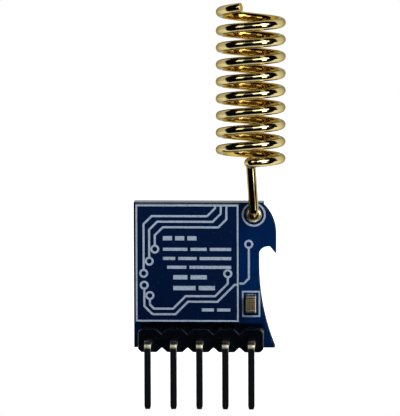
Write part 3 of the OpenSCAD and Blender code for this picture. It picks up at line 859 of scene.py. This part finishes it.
FINISHES: dict[Slot, Finish] = {
    Slot.LAMINATE: LaminateEdge(srgb(146, 158, 150), srgb(104, 118, 120), (0.5, 0.75)),
    Slot.COATING: BoardCoating(srgb(1, 42, 98), srgb(1, 18, 46), (0.16, 0.24), specular=0.4,
                               reach=26.0),
    Slot.COVER: BoardCoating(srgb(3, 25, 62), srgb(3, 20, 52), (0.2, 0.28), specular=0.3,
                             relief_mm=0.0012, painted_light_z=14.0),
    Slot.PRINT: PrintInk(srgb(178, 194, 214), srgb(118, 136, 162), (0.5, 0.7), specular=0.2,
                         relief_mm=0.003),
    Slot.PLATING: Finish(srgb(222, 190, 120), srgb(196, 160, 92), (0.2, 0.34), 1.0, scale=2.5),
    Slot.MOULDING: Finish(srgb(3, 6, 12), srgb(5, 8, 15), (0.18, 0.28), specular=0.4, scale=1.8,
                          relief_mm=0.0015, rim=srgb(168, 192, 228)),
    Slot.PIN: PinMetal(srgb(132, 136, 146), srgb(116, 120, 132), (0.07, 0.12), 0.97, scale=2.0,
                       relief_mm=0.0008, rim=srgb(104, 106, 108)),
    Slot.SOLDER: Finish(srgb(205, 206, 202), srgb(170, 172, 172), (0.16, 0.34), 1.0, scale=3.0,
                        relief_mm=0.006),
    Slot.WIRE: WireGold(srgb(200, 184, 134), srgb(190, 172, 120), (0.045, 0.09), 1.0, scale=0.5,
                        relief_mm=0.0008, rim=srgb(158, 154, 136)),
    Slot.WIRE_SOLDER: Finish(srgb(250, 236, 184), srgb(220, 196, 128), (0.24, 0.32), 1.0,
                             scale=0.3, relief_mm=0.035),
    Slot.CERAMIC: Finish(srgb(114, 98, 72), srgb(98, 85, 61), (0.2, 0.34), specular=0.8,
                         scale=6.0, relief_mm=0.004, side_highlight=srgb(222, 212, 178)),
    Slot.TIN: Finish(srgb(222, 219, 204), srgb(196, 192, 174), (0.24, 0.36), 1.0, scale=4.0,
                     relief_mm=0.003),
    Slot.CHIP: Finish(srgb(38, 38, 41), srgb(30, 30, 33), (0.45, 0.6), scale=4.0,
                      relief_mm=0.004),
    Slot.CRYSTAL: Finish(srgb(86, 84, 82), srgb(74, 72, 70), (0.5, 0.65), scale=5.0),
    Slot.COIL: Finish(srgb(98, 116, 138), srgb(84, 100, 122), (0.4, 0.55), scale=5.0),
    Slot.GLAZE: Finish(srgb(32, 32, 36), srgb(24, 24, 28), (0.2, 0.3), scale=5.0),
}

KEPT_SHAPES: dict[Slot, tuple[str, ...]] = {
    Slot.LAMINATE: ("circuit_board",),
    Slot.COATING: ("front_coating", "back_coating"),
    Slot.PRINT: ("board_print", "cover_print"),
    Slot.PLATING: ("pin_plating", "antenna_plating", "ground_strip", "copper_lands"),
    Slot.SOLDER: ("capacitor_solder",),
    Slot.CERAMIC: ("bypass_capacitors",),
    Slot.TIN: ("crystal_lid", "clock_lid", "chip_part_ends"),
    Slot.CHIP: ("controller_chip", "transceiver_chip", "aerial_switch"),
    Slot.CRYSTAL: ("crystal_base", "clock_base"),
    Slot.COIL: ("matching_coils",),
    Slot.GLAZE: ("bias_resistors",),
}


class Workshop:
    """Builds each finish once, and makes and dresses the pieces."""

    def __init__(self) -> None:
        """Builds the shared effects and all the finishes."""
        effects = SharedEffects()
        self.finishes = {slot: finish.build(slot.value, effects)
                         for slot, finish in FINISHES.items()}

    def make(self, surface: Surface, name: str, slot: Slot, *nodes: str, edge: float = 0.0,
             sharp: float = 35.0) -> None:
        """Makes a surface a piece that rides on the body, takes its slot and replaces CAD nodes.

        Args:
            surface: The surface.
            name: Name of the piece.
            slot: Its material slot in the record, which sets its finish.
            *nodes: CAD nodes that it stands for.
            edge: Width of its rounded edges in millimetres, or 0 for none.
            sharp: Faces that meet at more than so many degrees keep a sharp edge.
        """
        shape = surface.piece(name, self.finishes[slot], sharp)
        if edge:
            round_edges(shape, edge)
        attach(shape, ROOT)
        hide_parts(*nodes)
        LOG.info("%s: %d faces, %s", name, len(shape.data.polygons), slot.value)

    def dress(self, cad_nodes: dict[str, Object]) -> None:
        """Gives the CAD nodes that keep their own shape their finish.

        Args:
            cad_nodes: The objects of the CAD nodes, by name.
        """
        for slot, names in KEPT_SHAPES.items():
            for name in names:
                materials = cad_nodes[name].data.materials
                materials.clear()
                materials.append(self.finishes[slot])
                LOG.info("%s: CAD shape, %s", name, slot.value)


@dataclass
class SubAssembly:
    """A group of pieces that the workshop makes."""

    shop: Workshop


@dataclass
class SpringAntenna(SubAssembly):
    """The wound wire, its lead, and its tail through the board."""

    wire_d: float = 0.95
    coil_r: float = 2.97
    pitch: float = 1.665
    turns: float = 8.705
    end_lift: float = 0.3
    lift_turns: float = 0.75
    start: float = -0.2
    wire_tail: float = 0.6
    lead_gap: float = 0.74
    lead_len: float = 5.33
    lean_back: float = math.radians(5.7)
    lead_lean: float = math.radians(4.0)
    lead_set: float = 0.03
    elbow_h: float = 0.72
    elbow_pull: float = 0.62
    pigtail_r: float = 0.75
    pigtail_drop: float = 0.3
    pigtail_reach: float = 1.06
    hole_r: float = 0.545
    pad_r: float = 0.79
    bead_h: float = 0.3
    tail_steps: int = 8
    elbow_steps: int = 20
    bend_steps: int = 16
    steps_a_turn: int = 64
    sides: int = 28
    end_round: float = 0.014
    joint_sides: int = 48
    joint_waves: float = 0.03
    joint_steps: int = 8
    tail_covered: float = 0.75
    bead_grip: float = 0.9

    def path(self, hole: np.ndarray, back_y: float) -> tuple[np.ndarray, np.ndarray]:
        """Works out the wire's middle line: tail, elbow, lead, pigtail and coil.

        A coil point is foot + up * pitch * t + radius * (side * cos + back * sin) of the turn t.

        Args:
            hole: Middle of the antenna hole at the board's face.
            back_y: Where the board's back is.

        Returns:
            The points, and for each a direction across the wire.
        """
        side = np.array([1.0, 0.0, 0.0])
        back = np.array([0.0, math.cos(self.lean_back), -math.sin(self.lean_back)])
        up = np.array([0.0, math.sin(self.lean_back), math.cos(self.lean_back)])
        lead_way = unit(np.array([-math.tan(self.lead_lean), math.tan(self.lean_back), 1.0]))
        tail = np.array([hole[0], back_y + self.wire_tail, hole[2]])
        lead_foot = hole + [self.lead_set, -self.lead_gap, self.elbow_h]
        lead_top = lead_foot + lead_way * (self.lead_len - self.elbow_h)
        coil_foot = lead_top + up * self.pigtail_drop
        pull = self.elbow_h * self.elbow_pull

        def coil(t: np.ndarray) -> np.ndarray:
            """Works out points of the coil.

            Args:
                t: Turns from the coil's foot.

            Returns:
                A point for each.
            """
            angle = 2 * np.pi * t[:, None]
            spring = np.maximum(0.0, (t[:, None] - self.turns) / self.lift_turns + 1.0)
            rise = self.pitch * t[:, None] + self.end_lift * spring**2
            return (coil_foot + up * rise
                    + self.coil_r * (side * np.cos(angle) + back * np.sin(angle)))

        first = 2 * math.pi * self.start
        coil_way = unit(up * self.pitch / (2 * math.pi * self.coil_r)
                        - side * math.sin(first) + back * math.cos(first))
        coil_start = coil(np.array([self.start]))[0]
        pigtail = coil_start - coil_way * self.pigtail_reach
        count = round((self.turns - self.start) * self.steps_a_turn)
        turns = np.linspace(self.start, self.turns, count + 1)
        stretches = [
            np.linspace(tail, hole, self.tail_steps, endpoint=False),
            curve_points(hole, hole - [0, pull, 0], lead_foot - lead_way * pull, lead_foot,
                         self.elbow_steps),
            bend_points(lead_foot, lead_top, pigtail, self.pigtail_r, self.bend_steps),
            bend_points(lead_top, pigtail, coil_start, self.pigtail_r, self.bend_steps),
            coil(turns),
        ]
        points = np.vstack(stretches)
        straight = sum(len(stretch) for stretch in stretches[:3])
        turning = len(stretches[3])
        share = np.clip((np.arange(len(points)) - straight) / turning, 0.0, 1.0)[:, None]
        across = side * np.cos(share * np.pi / 2) + up * np.sin(share * np.pi / 2)
        return points, across

    def build(self) -> None:
        """Sweeps the wire with slightly rounded cut ends, and makes its solder."""
        middle = node_box("antenna_solder").mean(axis=0)
        face_y, back_y = board_faces()
        hole = np.array([middle[0], face_y, middle[2]])
        points, across, scale = self.with_cut_ends(*self.path(hole, back_y))
        wire = swept(points, circle_section(self.sides), across, scale)
        self.shop.make(wire, "spring_antenna", Slot.WIRE, "antenna")
        solder = turned(self.solder_profile(face_y, back_y), middle * [1, 0, 1],
                        self.joint_sides, self.joint_waves)
        self.shop.make(solder, "antenna_joint", Slot.WIRE_SOLDER, "antenna_solder")

    def with_cut_ends(self, points: np.ndarray, across: np.ndarray) -> tuple[np.ndarray, ...]:
        """Adds a ring close to each end, so that only the cut's own edge is rounded.

        Args:
            points: The middle line.
            across: A direction across the wire for each point.

        Returns:
            The longer line, its directions, and the wire's radius at each point.
        """
        first = points[0] + unit(points[1] - points[0]) * self.end_round
        last = points[-1] + unit(points[-2] - points[-1]) * self.end_round
        points = np.vstack([points[:1], first, points[1:-1], last, points[-1:]])
        across = np.vstack([across[:1], across[:1], across[1:-1], across[-1:], across[-1:]])
        scale = np.full(len(points), self.wire_d / 2)
        scale[[0, -1]] -= self.end_round
        return points, across, scale

    def solder_profile(self, face_y: float, back_y: float) -> np.ndarray:
        """Works out the joint's profile: a cone behind, the fill, and a round bead in front.

        Args:
            face_y: Y of the board's face.
            back_y: Y of its back.

        Returns:
            Rows of radius and Y, from the back to the front.
        """
        wire_r = self.wire_d / 2
        k = np.linspace(0.0, 1.0, self.joint_steps + 1)
        behind = np.stack([wire_r + (self.pad_r - wire_r) * k**2,
                           back_y + self.wire_tail * self.tail_covered * (1 - k)], axis=1)
        fill = np.array([[self.hole_r, back_y], [self.hole_r, face_y]])
        inner = wire_r * self.bead_grip
        bead = np.stack([self.pad_r - (self.pad_r - inner) * (1 - np.cos(k * np.pi / 2)),
                         face_y - self.bead_h * np.sin(k * np.pi / 2)], axis=1)
        return np.vstack([behind, fill, bead])


@dataclass
class PinRow(SubAssembly):
    """Five square pins with a rounded section, a bend and tapered ends."""

    pin_w: float = 0.64
    edge_r: float = 0.04
    edge_steps: int = 3
    bend_r: float = 0.45
    bend_steps: int = 16
    leg_len: float = 5.95
    tail_out: float = 1.0
    tip_len: float = 0.3
    tip_w: float = 0.46
    cut_share: float = 0.86
    cut_len: float = 0.02

    def build(self) -> None:
        """Sweeps each pin from its tail, round the bend, to its tip."""
        end_y = board_faces()[1] + self.tail_out
        end_z = -self.leg_len
        arc = quarter_turn(self.bend_steps)
        y = np.concatenate([[end_y, end_y - self.cut_len, end_y - self.tip_len],
                            self.bend_r * (1 - np.sin(arc)), np.zeros(3)])
        z = np.concatenate([np.full(3, self.bend_r), self.bend_r * np.cos(arc),
                            [end_z + self.tip_len, end_z + self.cut_len, end_z]])
        scale = np.ones(len(y))
        tip = self.tip_w / self.pin_w
        scale[[0, -1]] = tip * self.cut_share
        scale[[1, -2]] = tip
        across = np.tile([1.0, 0.0, 0.0], (len(y), 1))
        half = self.pin_w / 2
        section = rounded_rectangle(-half, -half, half, half, self.edge_r, self.edge_steps)
        for number in range(1, PINS + 1):
            name = f"pin_{number}"
            x = node_box(name)[:, 0].mean()
            path = np.stack([np.full(len(y), x), y, z], axis=1)
            pin = swept(path, section, across, scale)
            self.shop.make(pin, f"square_{name}", Slot.PIN, name)


@dataclass
class HeaderBlock(SubAssembly):
    """The moulded block: five units with a notch above and below each joint."""

    pitch: float = 2.54
    notch_w: float = 1.04
    notch_d: float = 0.48
    end_trim: float = 0.2
    edge: float = 0.09

    def outline(self, low_z: float, high_z: float) -> np.ndarray:
        """Works out the block's outline, anticlockwise from its lower left.

        Args:
            low_z: Height of the units' lower faces.
            high_z: Height of their upper faces.

        Returns:
            Pairs of X and Z.
        """
        end_x = PINS / 2 * self.pitch - self.end_trim
        flat = (self.pitch - self.notch_w) / 2
        slope = self.notch_d / (self.pitch / 2 - flat)
        corner = (self.pitch / 2 - flat - self.end_trim) * slope
        lower, upper = [[-end_x, low_z + corner]], [[end_x, high_z - corner]]
        last = PINS // 2
        for number in range(-last, last + 1):
            middle = number * self.pitch
            lower += [[middle - flat, low_z], [middle + flat, low_z]]
            upper += [[-middle + flat, high_z], [-middle - flat, high_z]]
            if number < last:
                joint = middle + self.pitch / 2
                lower.append([joint, low_z + self.notch_d])
                upper.append([-joint, high_z - self.notch_d])
        lower.append([end_x, low_z + corner])
        upper.append([-end_x, high_z - corner])
        return np.array(lower + upper)

    def build(self) -> None:
        """Makes the block with rounded edges."""
        low, high = node_box("header_block")
        block = prism(self.outline(low[2], high[2]), low[1], high[1])
        self.shop.make(block, "moulded_block", Slot.MOULDING, "header_block", edge=self.edge)


@dataclass
class ShieldCover(SubAssembly):
    """The drawn can over the circuit, with rounded edges and a thin wall."""

    wall: float = 0.15
    corner_r: float = 0.2
    least_r: float = 0.03
    edge_r: float = 0.09
    sharp: float = 20.0
    corner_steps: int = 6
    edge_steps: int = 5

    def build(self) -> None:
        """Stacks the can from its inside, round its rim, to its front."""
        low, high = node_box("shield_cover")

        def ring(inset: float, y: float) -> np.ndarray:
            """Draws the can's outline.

            Args:
                inset: How far it is drawn in.
                y: Where it stands.

            Returns:
                A ring of points.
            """
            pairs = rounded_rectangle(low[0] + inset, low[2] + inset,
                                      high[0] - inset, high[2] - inset,
                                      max(self.corner_r - inset, self.least_r), self.corner_steps)
            return upright(pairs, y)

        turn = quarter_turn(self.edge_steps)
        rounding = [ring(self.edge_r * (1 - math.cos(a)), low[1] + self.edge_r * (1 - math.sin(a)))
                    for a in turn]
        can = stacked([ring(self.wall, low[1] + self.wall), ring(self.wall, high[1]),
                       ring(0.0, high[1]), *rounding])
        self.shop.make(can, "drawn_cover", Slot.COVER, "shield_cover", sharp=self.sharp)


@dataclass
class PinJoints(SubAssembly):
    """The solder joints at the pins' tails: hollow cones on round pads."""

    pin_r: float = 0.35
    pad_r: float = 0.86
    hole_r: float = 0.51
    height: float = 0.75
    hollow: float = 2.2
    sides: int = 40
    cone_steps: int = 11
    waves: float = 0.015
    more_waves: float = 0.005

    def build(self) -> None:
        """Turns each joint with its own slight unevenness."""
        face_y, back_y = board_faces()
        k = np.linspace(0.0, 1.0, self.cone_steps + 1)
        cone = np.stack([self.pin_r + (self.pad_r - self.pin_r) * k**self.hollow,
                         back_y + self.height * (1 - k)], axis=1)
        profile = np.vstack([cone, [[self.hole_r, back_y], [self.hole_r, face_y]]])
        for number in range(1, PINS + 1):
            name = f"pin_solder_{number}"
            joint = turned(profile, node_box(name).mean(axis=0) * [1, 0, 1], self.sides,
                           self.waves + self.more_waves * number)
            self.shop.make(joint, f"solder_joint_{number}", Slot.SOLDER, name)


@dataclass
class ChipCapacitor(SubAssembly):
    """The capacitor: a ceramic block between two plated ends."""

    corner_r: float = 0.08
    end_len: float = 0.3
    plating: float = 0.02
    tuck: float = 0.9
    edge_steps: int = 4

    def build(self) -> None:
        """Makes the body, and both its ends as one piece."""
        low, high = node_box("capacitor_ends")
        inside = self.end_len * self.tuck
        body = self.bar(low, high, low[2] + inside, high[2] - inside, 0.0)
        self.shop.make(body, "ceramic_body", Slot.CERAMIC, "capacitor_body")
        upper = self.bar(low, high, high[2] - self.end_len, high[2], self.plating)
        lower = self.bar(low, high, low[2], low[2] + self.end_len, self.plating)
        self.shop.make(upper.joined(lower), "plated_ends", Slot.TIN, "capacitor_ends")

    def bar(self, low: np.ndarray, high: np.ndarray, start: float, end: float,
            grow: float) -> Surface:
        """A bar along Z with all its edges rounded.

        Args:
            low: Lowest corner of the whole capacitor.
            high: Its highest corner.
            start: Z of the bar's lower end.
            end: Z of its upper end.
            grow: How much thicker it is than the ceramic.

        Returns:
            A closed surface.
        """
        inset = self.plating - grow
        turn = quarter_turn(self.edge_steps)
        round_off = [(self.corner_r * (1 - math.sin(a)), self.corner_r * (1 - math.cos(a)))
                     for a in turn]
        levels = ([(draw, start + lift) for draw, lift in round_off]
                  + [(draw, end - lift) for draw, lift in reversed(round_off)])
        rings = []
        for draw, z in levels:
            pull = inset + draw
            pairs = rounded_rectangle(low[0] + pull, low[1] + pull, high[0] - pull,
                                      high[1] - inset, self.corner_r)
            rings.append(np.column_stack([pairs, np.full(len(pairs), z)]))
        return stacked(rings)


@dataclass(frozen=True)
class Lamp:
    """A soft rectangular lamp that faces the middle of the object.

    Its place is in degrees to the right of the front and above the level, its size in
    millimetres, and its brightness is its face's, where a white sheet in full light is 1.
    """

    name: str
    azimuth: float
    elevation: float
    size_mm: Pair
    brightness: float
    distance_mm: float = 320.0

    def place(self, aim_mm: Vector) -> None:
        """Adds the lamp, unseen by the camera.

        Args:
            aim_mm: The point that it is turned to, in millimetres.
        """
        light = bpy.data.lights.new(self.name, "AREA")
        light.shape = "RECTANGLE"
        light.size, light.size_y = self.size_mm[0] * MM, self.size_mm[1] * MM
        light.energy = self.brightness * math.pi * light.size * light.size_y
        lamp = bpy.data.objects.new(self.name, light)
        out = line_of_sight(math.radians(self.azimuth), math.radians(self.elevation))
        lamp.location = (aim_mm + out * self.distance_mm) * MM
        lamp.rotation_mode = "QUATERNION"
        lamp.rotation_quaternion = (-out).to_track_quat("-Z", "Y")
        lamp.visible_camera = False
        bpy.context.scene.collection.objects.link(lamp)


LAMPS = (
    Lamp("key_window", 50.0, 19.5, (90.0, 365.0), brightness=6.0),
    Lamp("key_wing", 40.0, 33.0, (310.0, 145.0), brightness=3.0),
    Lamp("left_window", -37.0, 29.0, (130.0, 165.0), brightness=2.2),
    Lamp("front_glow", 0.0, 38.0, (230.0, 120.0), brightness=0.3),
)


@dataclass
class Studio:
    """The pale floor, the light and the camera at the photograph's angle."""

    azimuth: float = math.radians(3.0)
    elevation: float = math.radians(7.3)
    roll: float = math.radians(-0.2)
    distance: float = 0.8
    aim_mm: Triple = (-0.103, 4.0, 13.37)
    floor_front: float = 1.0
    floor_back: float = 260.0
    floor_side: float = 220.0
    floor_glow: float = 0.85
    dark_side: float = 0.004
    sweep_turn: float = 0.15
    sweep_rise: float = 1.6
    sweep_fall: float = 0.14
    sweep_start: Pair = (0.04, 0.1)
    sweep_end: Pair = (0.0, 0.12)
    underside: Pair = (-0.8, -0.72)

    def camera(self) -> None:
        """Places a long lens on the line of sight, rolled a little, and makes it the scene's."""
        lens_data = bpy.data.cameras.new("camera")
        lens_data.sensor_width = 36.0
        field_mm = max(PHOTO_WIDTH, PHOTO_HEIGHT) / PIXELS_PER_MM
        lens_data.lens = lens_data.sensor_width * self.distance / (field_mm * MM)
        camera = bpy.data.objects.new("camera", lens_data)
        bpy.context.scene.collection.objects.link(camera)
        back = line_of_sight(self.azimuth, self.elevation)
        aim = Vector(self.aim_mm) * MM
        turn = (-back).to_track_quat("-Z", "Y").to_matrix().to_4x4()
        camera.matrix_world = (Matrix.Translation(aim + back * self.distance) @ turn
                               @ Matrix.Rotation(self.roll, 4, "Z"))
        lens_data.clip_start, lens_data.clip_end = 0.01, 10.0
        bpy.context.scene.camera = camera

    def floor(self) -> None:
        """Makes a pale sheet that the pins stand on; its white shows whole to the camera."""
        z = float(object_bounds()[0][2]) / MM
        side, front, back = self.floor_side, self.floor_front, self.floor_back
        corners = np.array([[-side, front, z], [side, front, z], [side, back, z], [-side, back, z]])
        material = bpy.data.materials.new("pale_floor")
        material.use_nodes = True
        plan = NodePlan(material.node_tree)
        plan.feed(plan.tree.nodes["Principled BSDF"], {
            "Base Color": (0.8, 0.8, 0.8, 1.0), "Roughness": 0.9, "Specular IOR Level": 0.1,
            "Emission Color": WHITE,
            "Emission Strength": plan.times(self.looked_at(plan), self.floor_glow)})
        floor = Surface(corners, [(0, 1, 2, 3)]).piece("floor", material)
        floor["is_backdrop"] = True

    @staticmethod
    def looked_at(plan: NodePlan) -> NodeSocket:
        """Tells camera, mirror and transmission rays from light on things.

        Args:
            plan: The material that asks.

        Returns:
            1 for the former, 0 for the latter.
        """
        path = plan.place("ShaderNodeLightPath")
        mirrored = plan.maths("MAXIMUM", path.outputs["Is Glossy Ray"],
                              path.outputs["Is Transmission Ray"])
        return plan.maths("MAXIMUM", path.outputs["Is Camera Ray"], mirrored)

    def world(self) -> None:
        """A white sweep behind and below the object; the room is dark on the camera's side.

        The sweep ends a little over its own distance up, is turned slightly to the left, and is
        lit more from the right.
        """
        world = bpy.data.worlds.new("studio")
        bpy.context.scene.world = world
        world.use_nodes = True
        plan = NodePlan(world.node_tree)
        way = plan.axes(plan.place("ShaderNodeTexCoord").outputs["Generated"])
        to_left = plan.times(way["X"], self.sweep_turn)
        behind = plan.between(plan.maths("SUBTRACT", way["Y"], to_left), *self.sweep_start)
        over = plan.maths("SUBTRACT", way["Z"], plan.times(way["Y"], self.sweep_rise))
        sweep = plan.times(behind, plan.fading(over, *self.sweep_end))
        below = plan.fading(way["Z"], *self.underside)
        fall = plan.between(way["X"], -1.0, 1.0, 1.0 - self.sweep_fall, 1.0 + self.sweep_fall)
        level = plan.between(plan.maths("MAXIMUM", sweep, below), 0.0, 1.0, self.dark_side, fall)
        seen = plan.place("ShaderNodeLightPath").outputs["Is Camera Ray"]
        plan.feed(plan.tree.nodes["Background"], {
            "Color": WHITE, "Strength": plan.maths("MAXIMUM", seen, level)})

    def build(self) -> None:
        """Makes camera, floor, world and lamps, and sets the plain view transform."""
        self.camera()
        self.floor()
        self.world()
        for lamp in LAMPS:
            lamp.place(Vector(self.aim_mm))
        bpy.context.scene.view_settings.view_transform = "Standard"


def main() -> None:
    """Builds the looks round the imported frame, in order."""
    logging.basicConfig(level=logging.INFO, format="%(name)s: %(message)s")
    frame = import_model()
    shop = Workshop()
    Studio().build()
    for sub_assembly in (SpringAntenna, PinRow, PinJoints, HeaderBlock, ShieldCover,
                         ChipCapacitor):
        sub_assembly(shop).build()
    shop.dress(frame["nodes"])


if __name__ == "__main__":
    main()
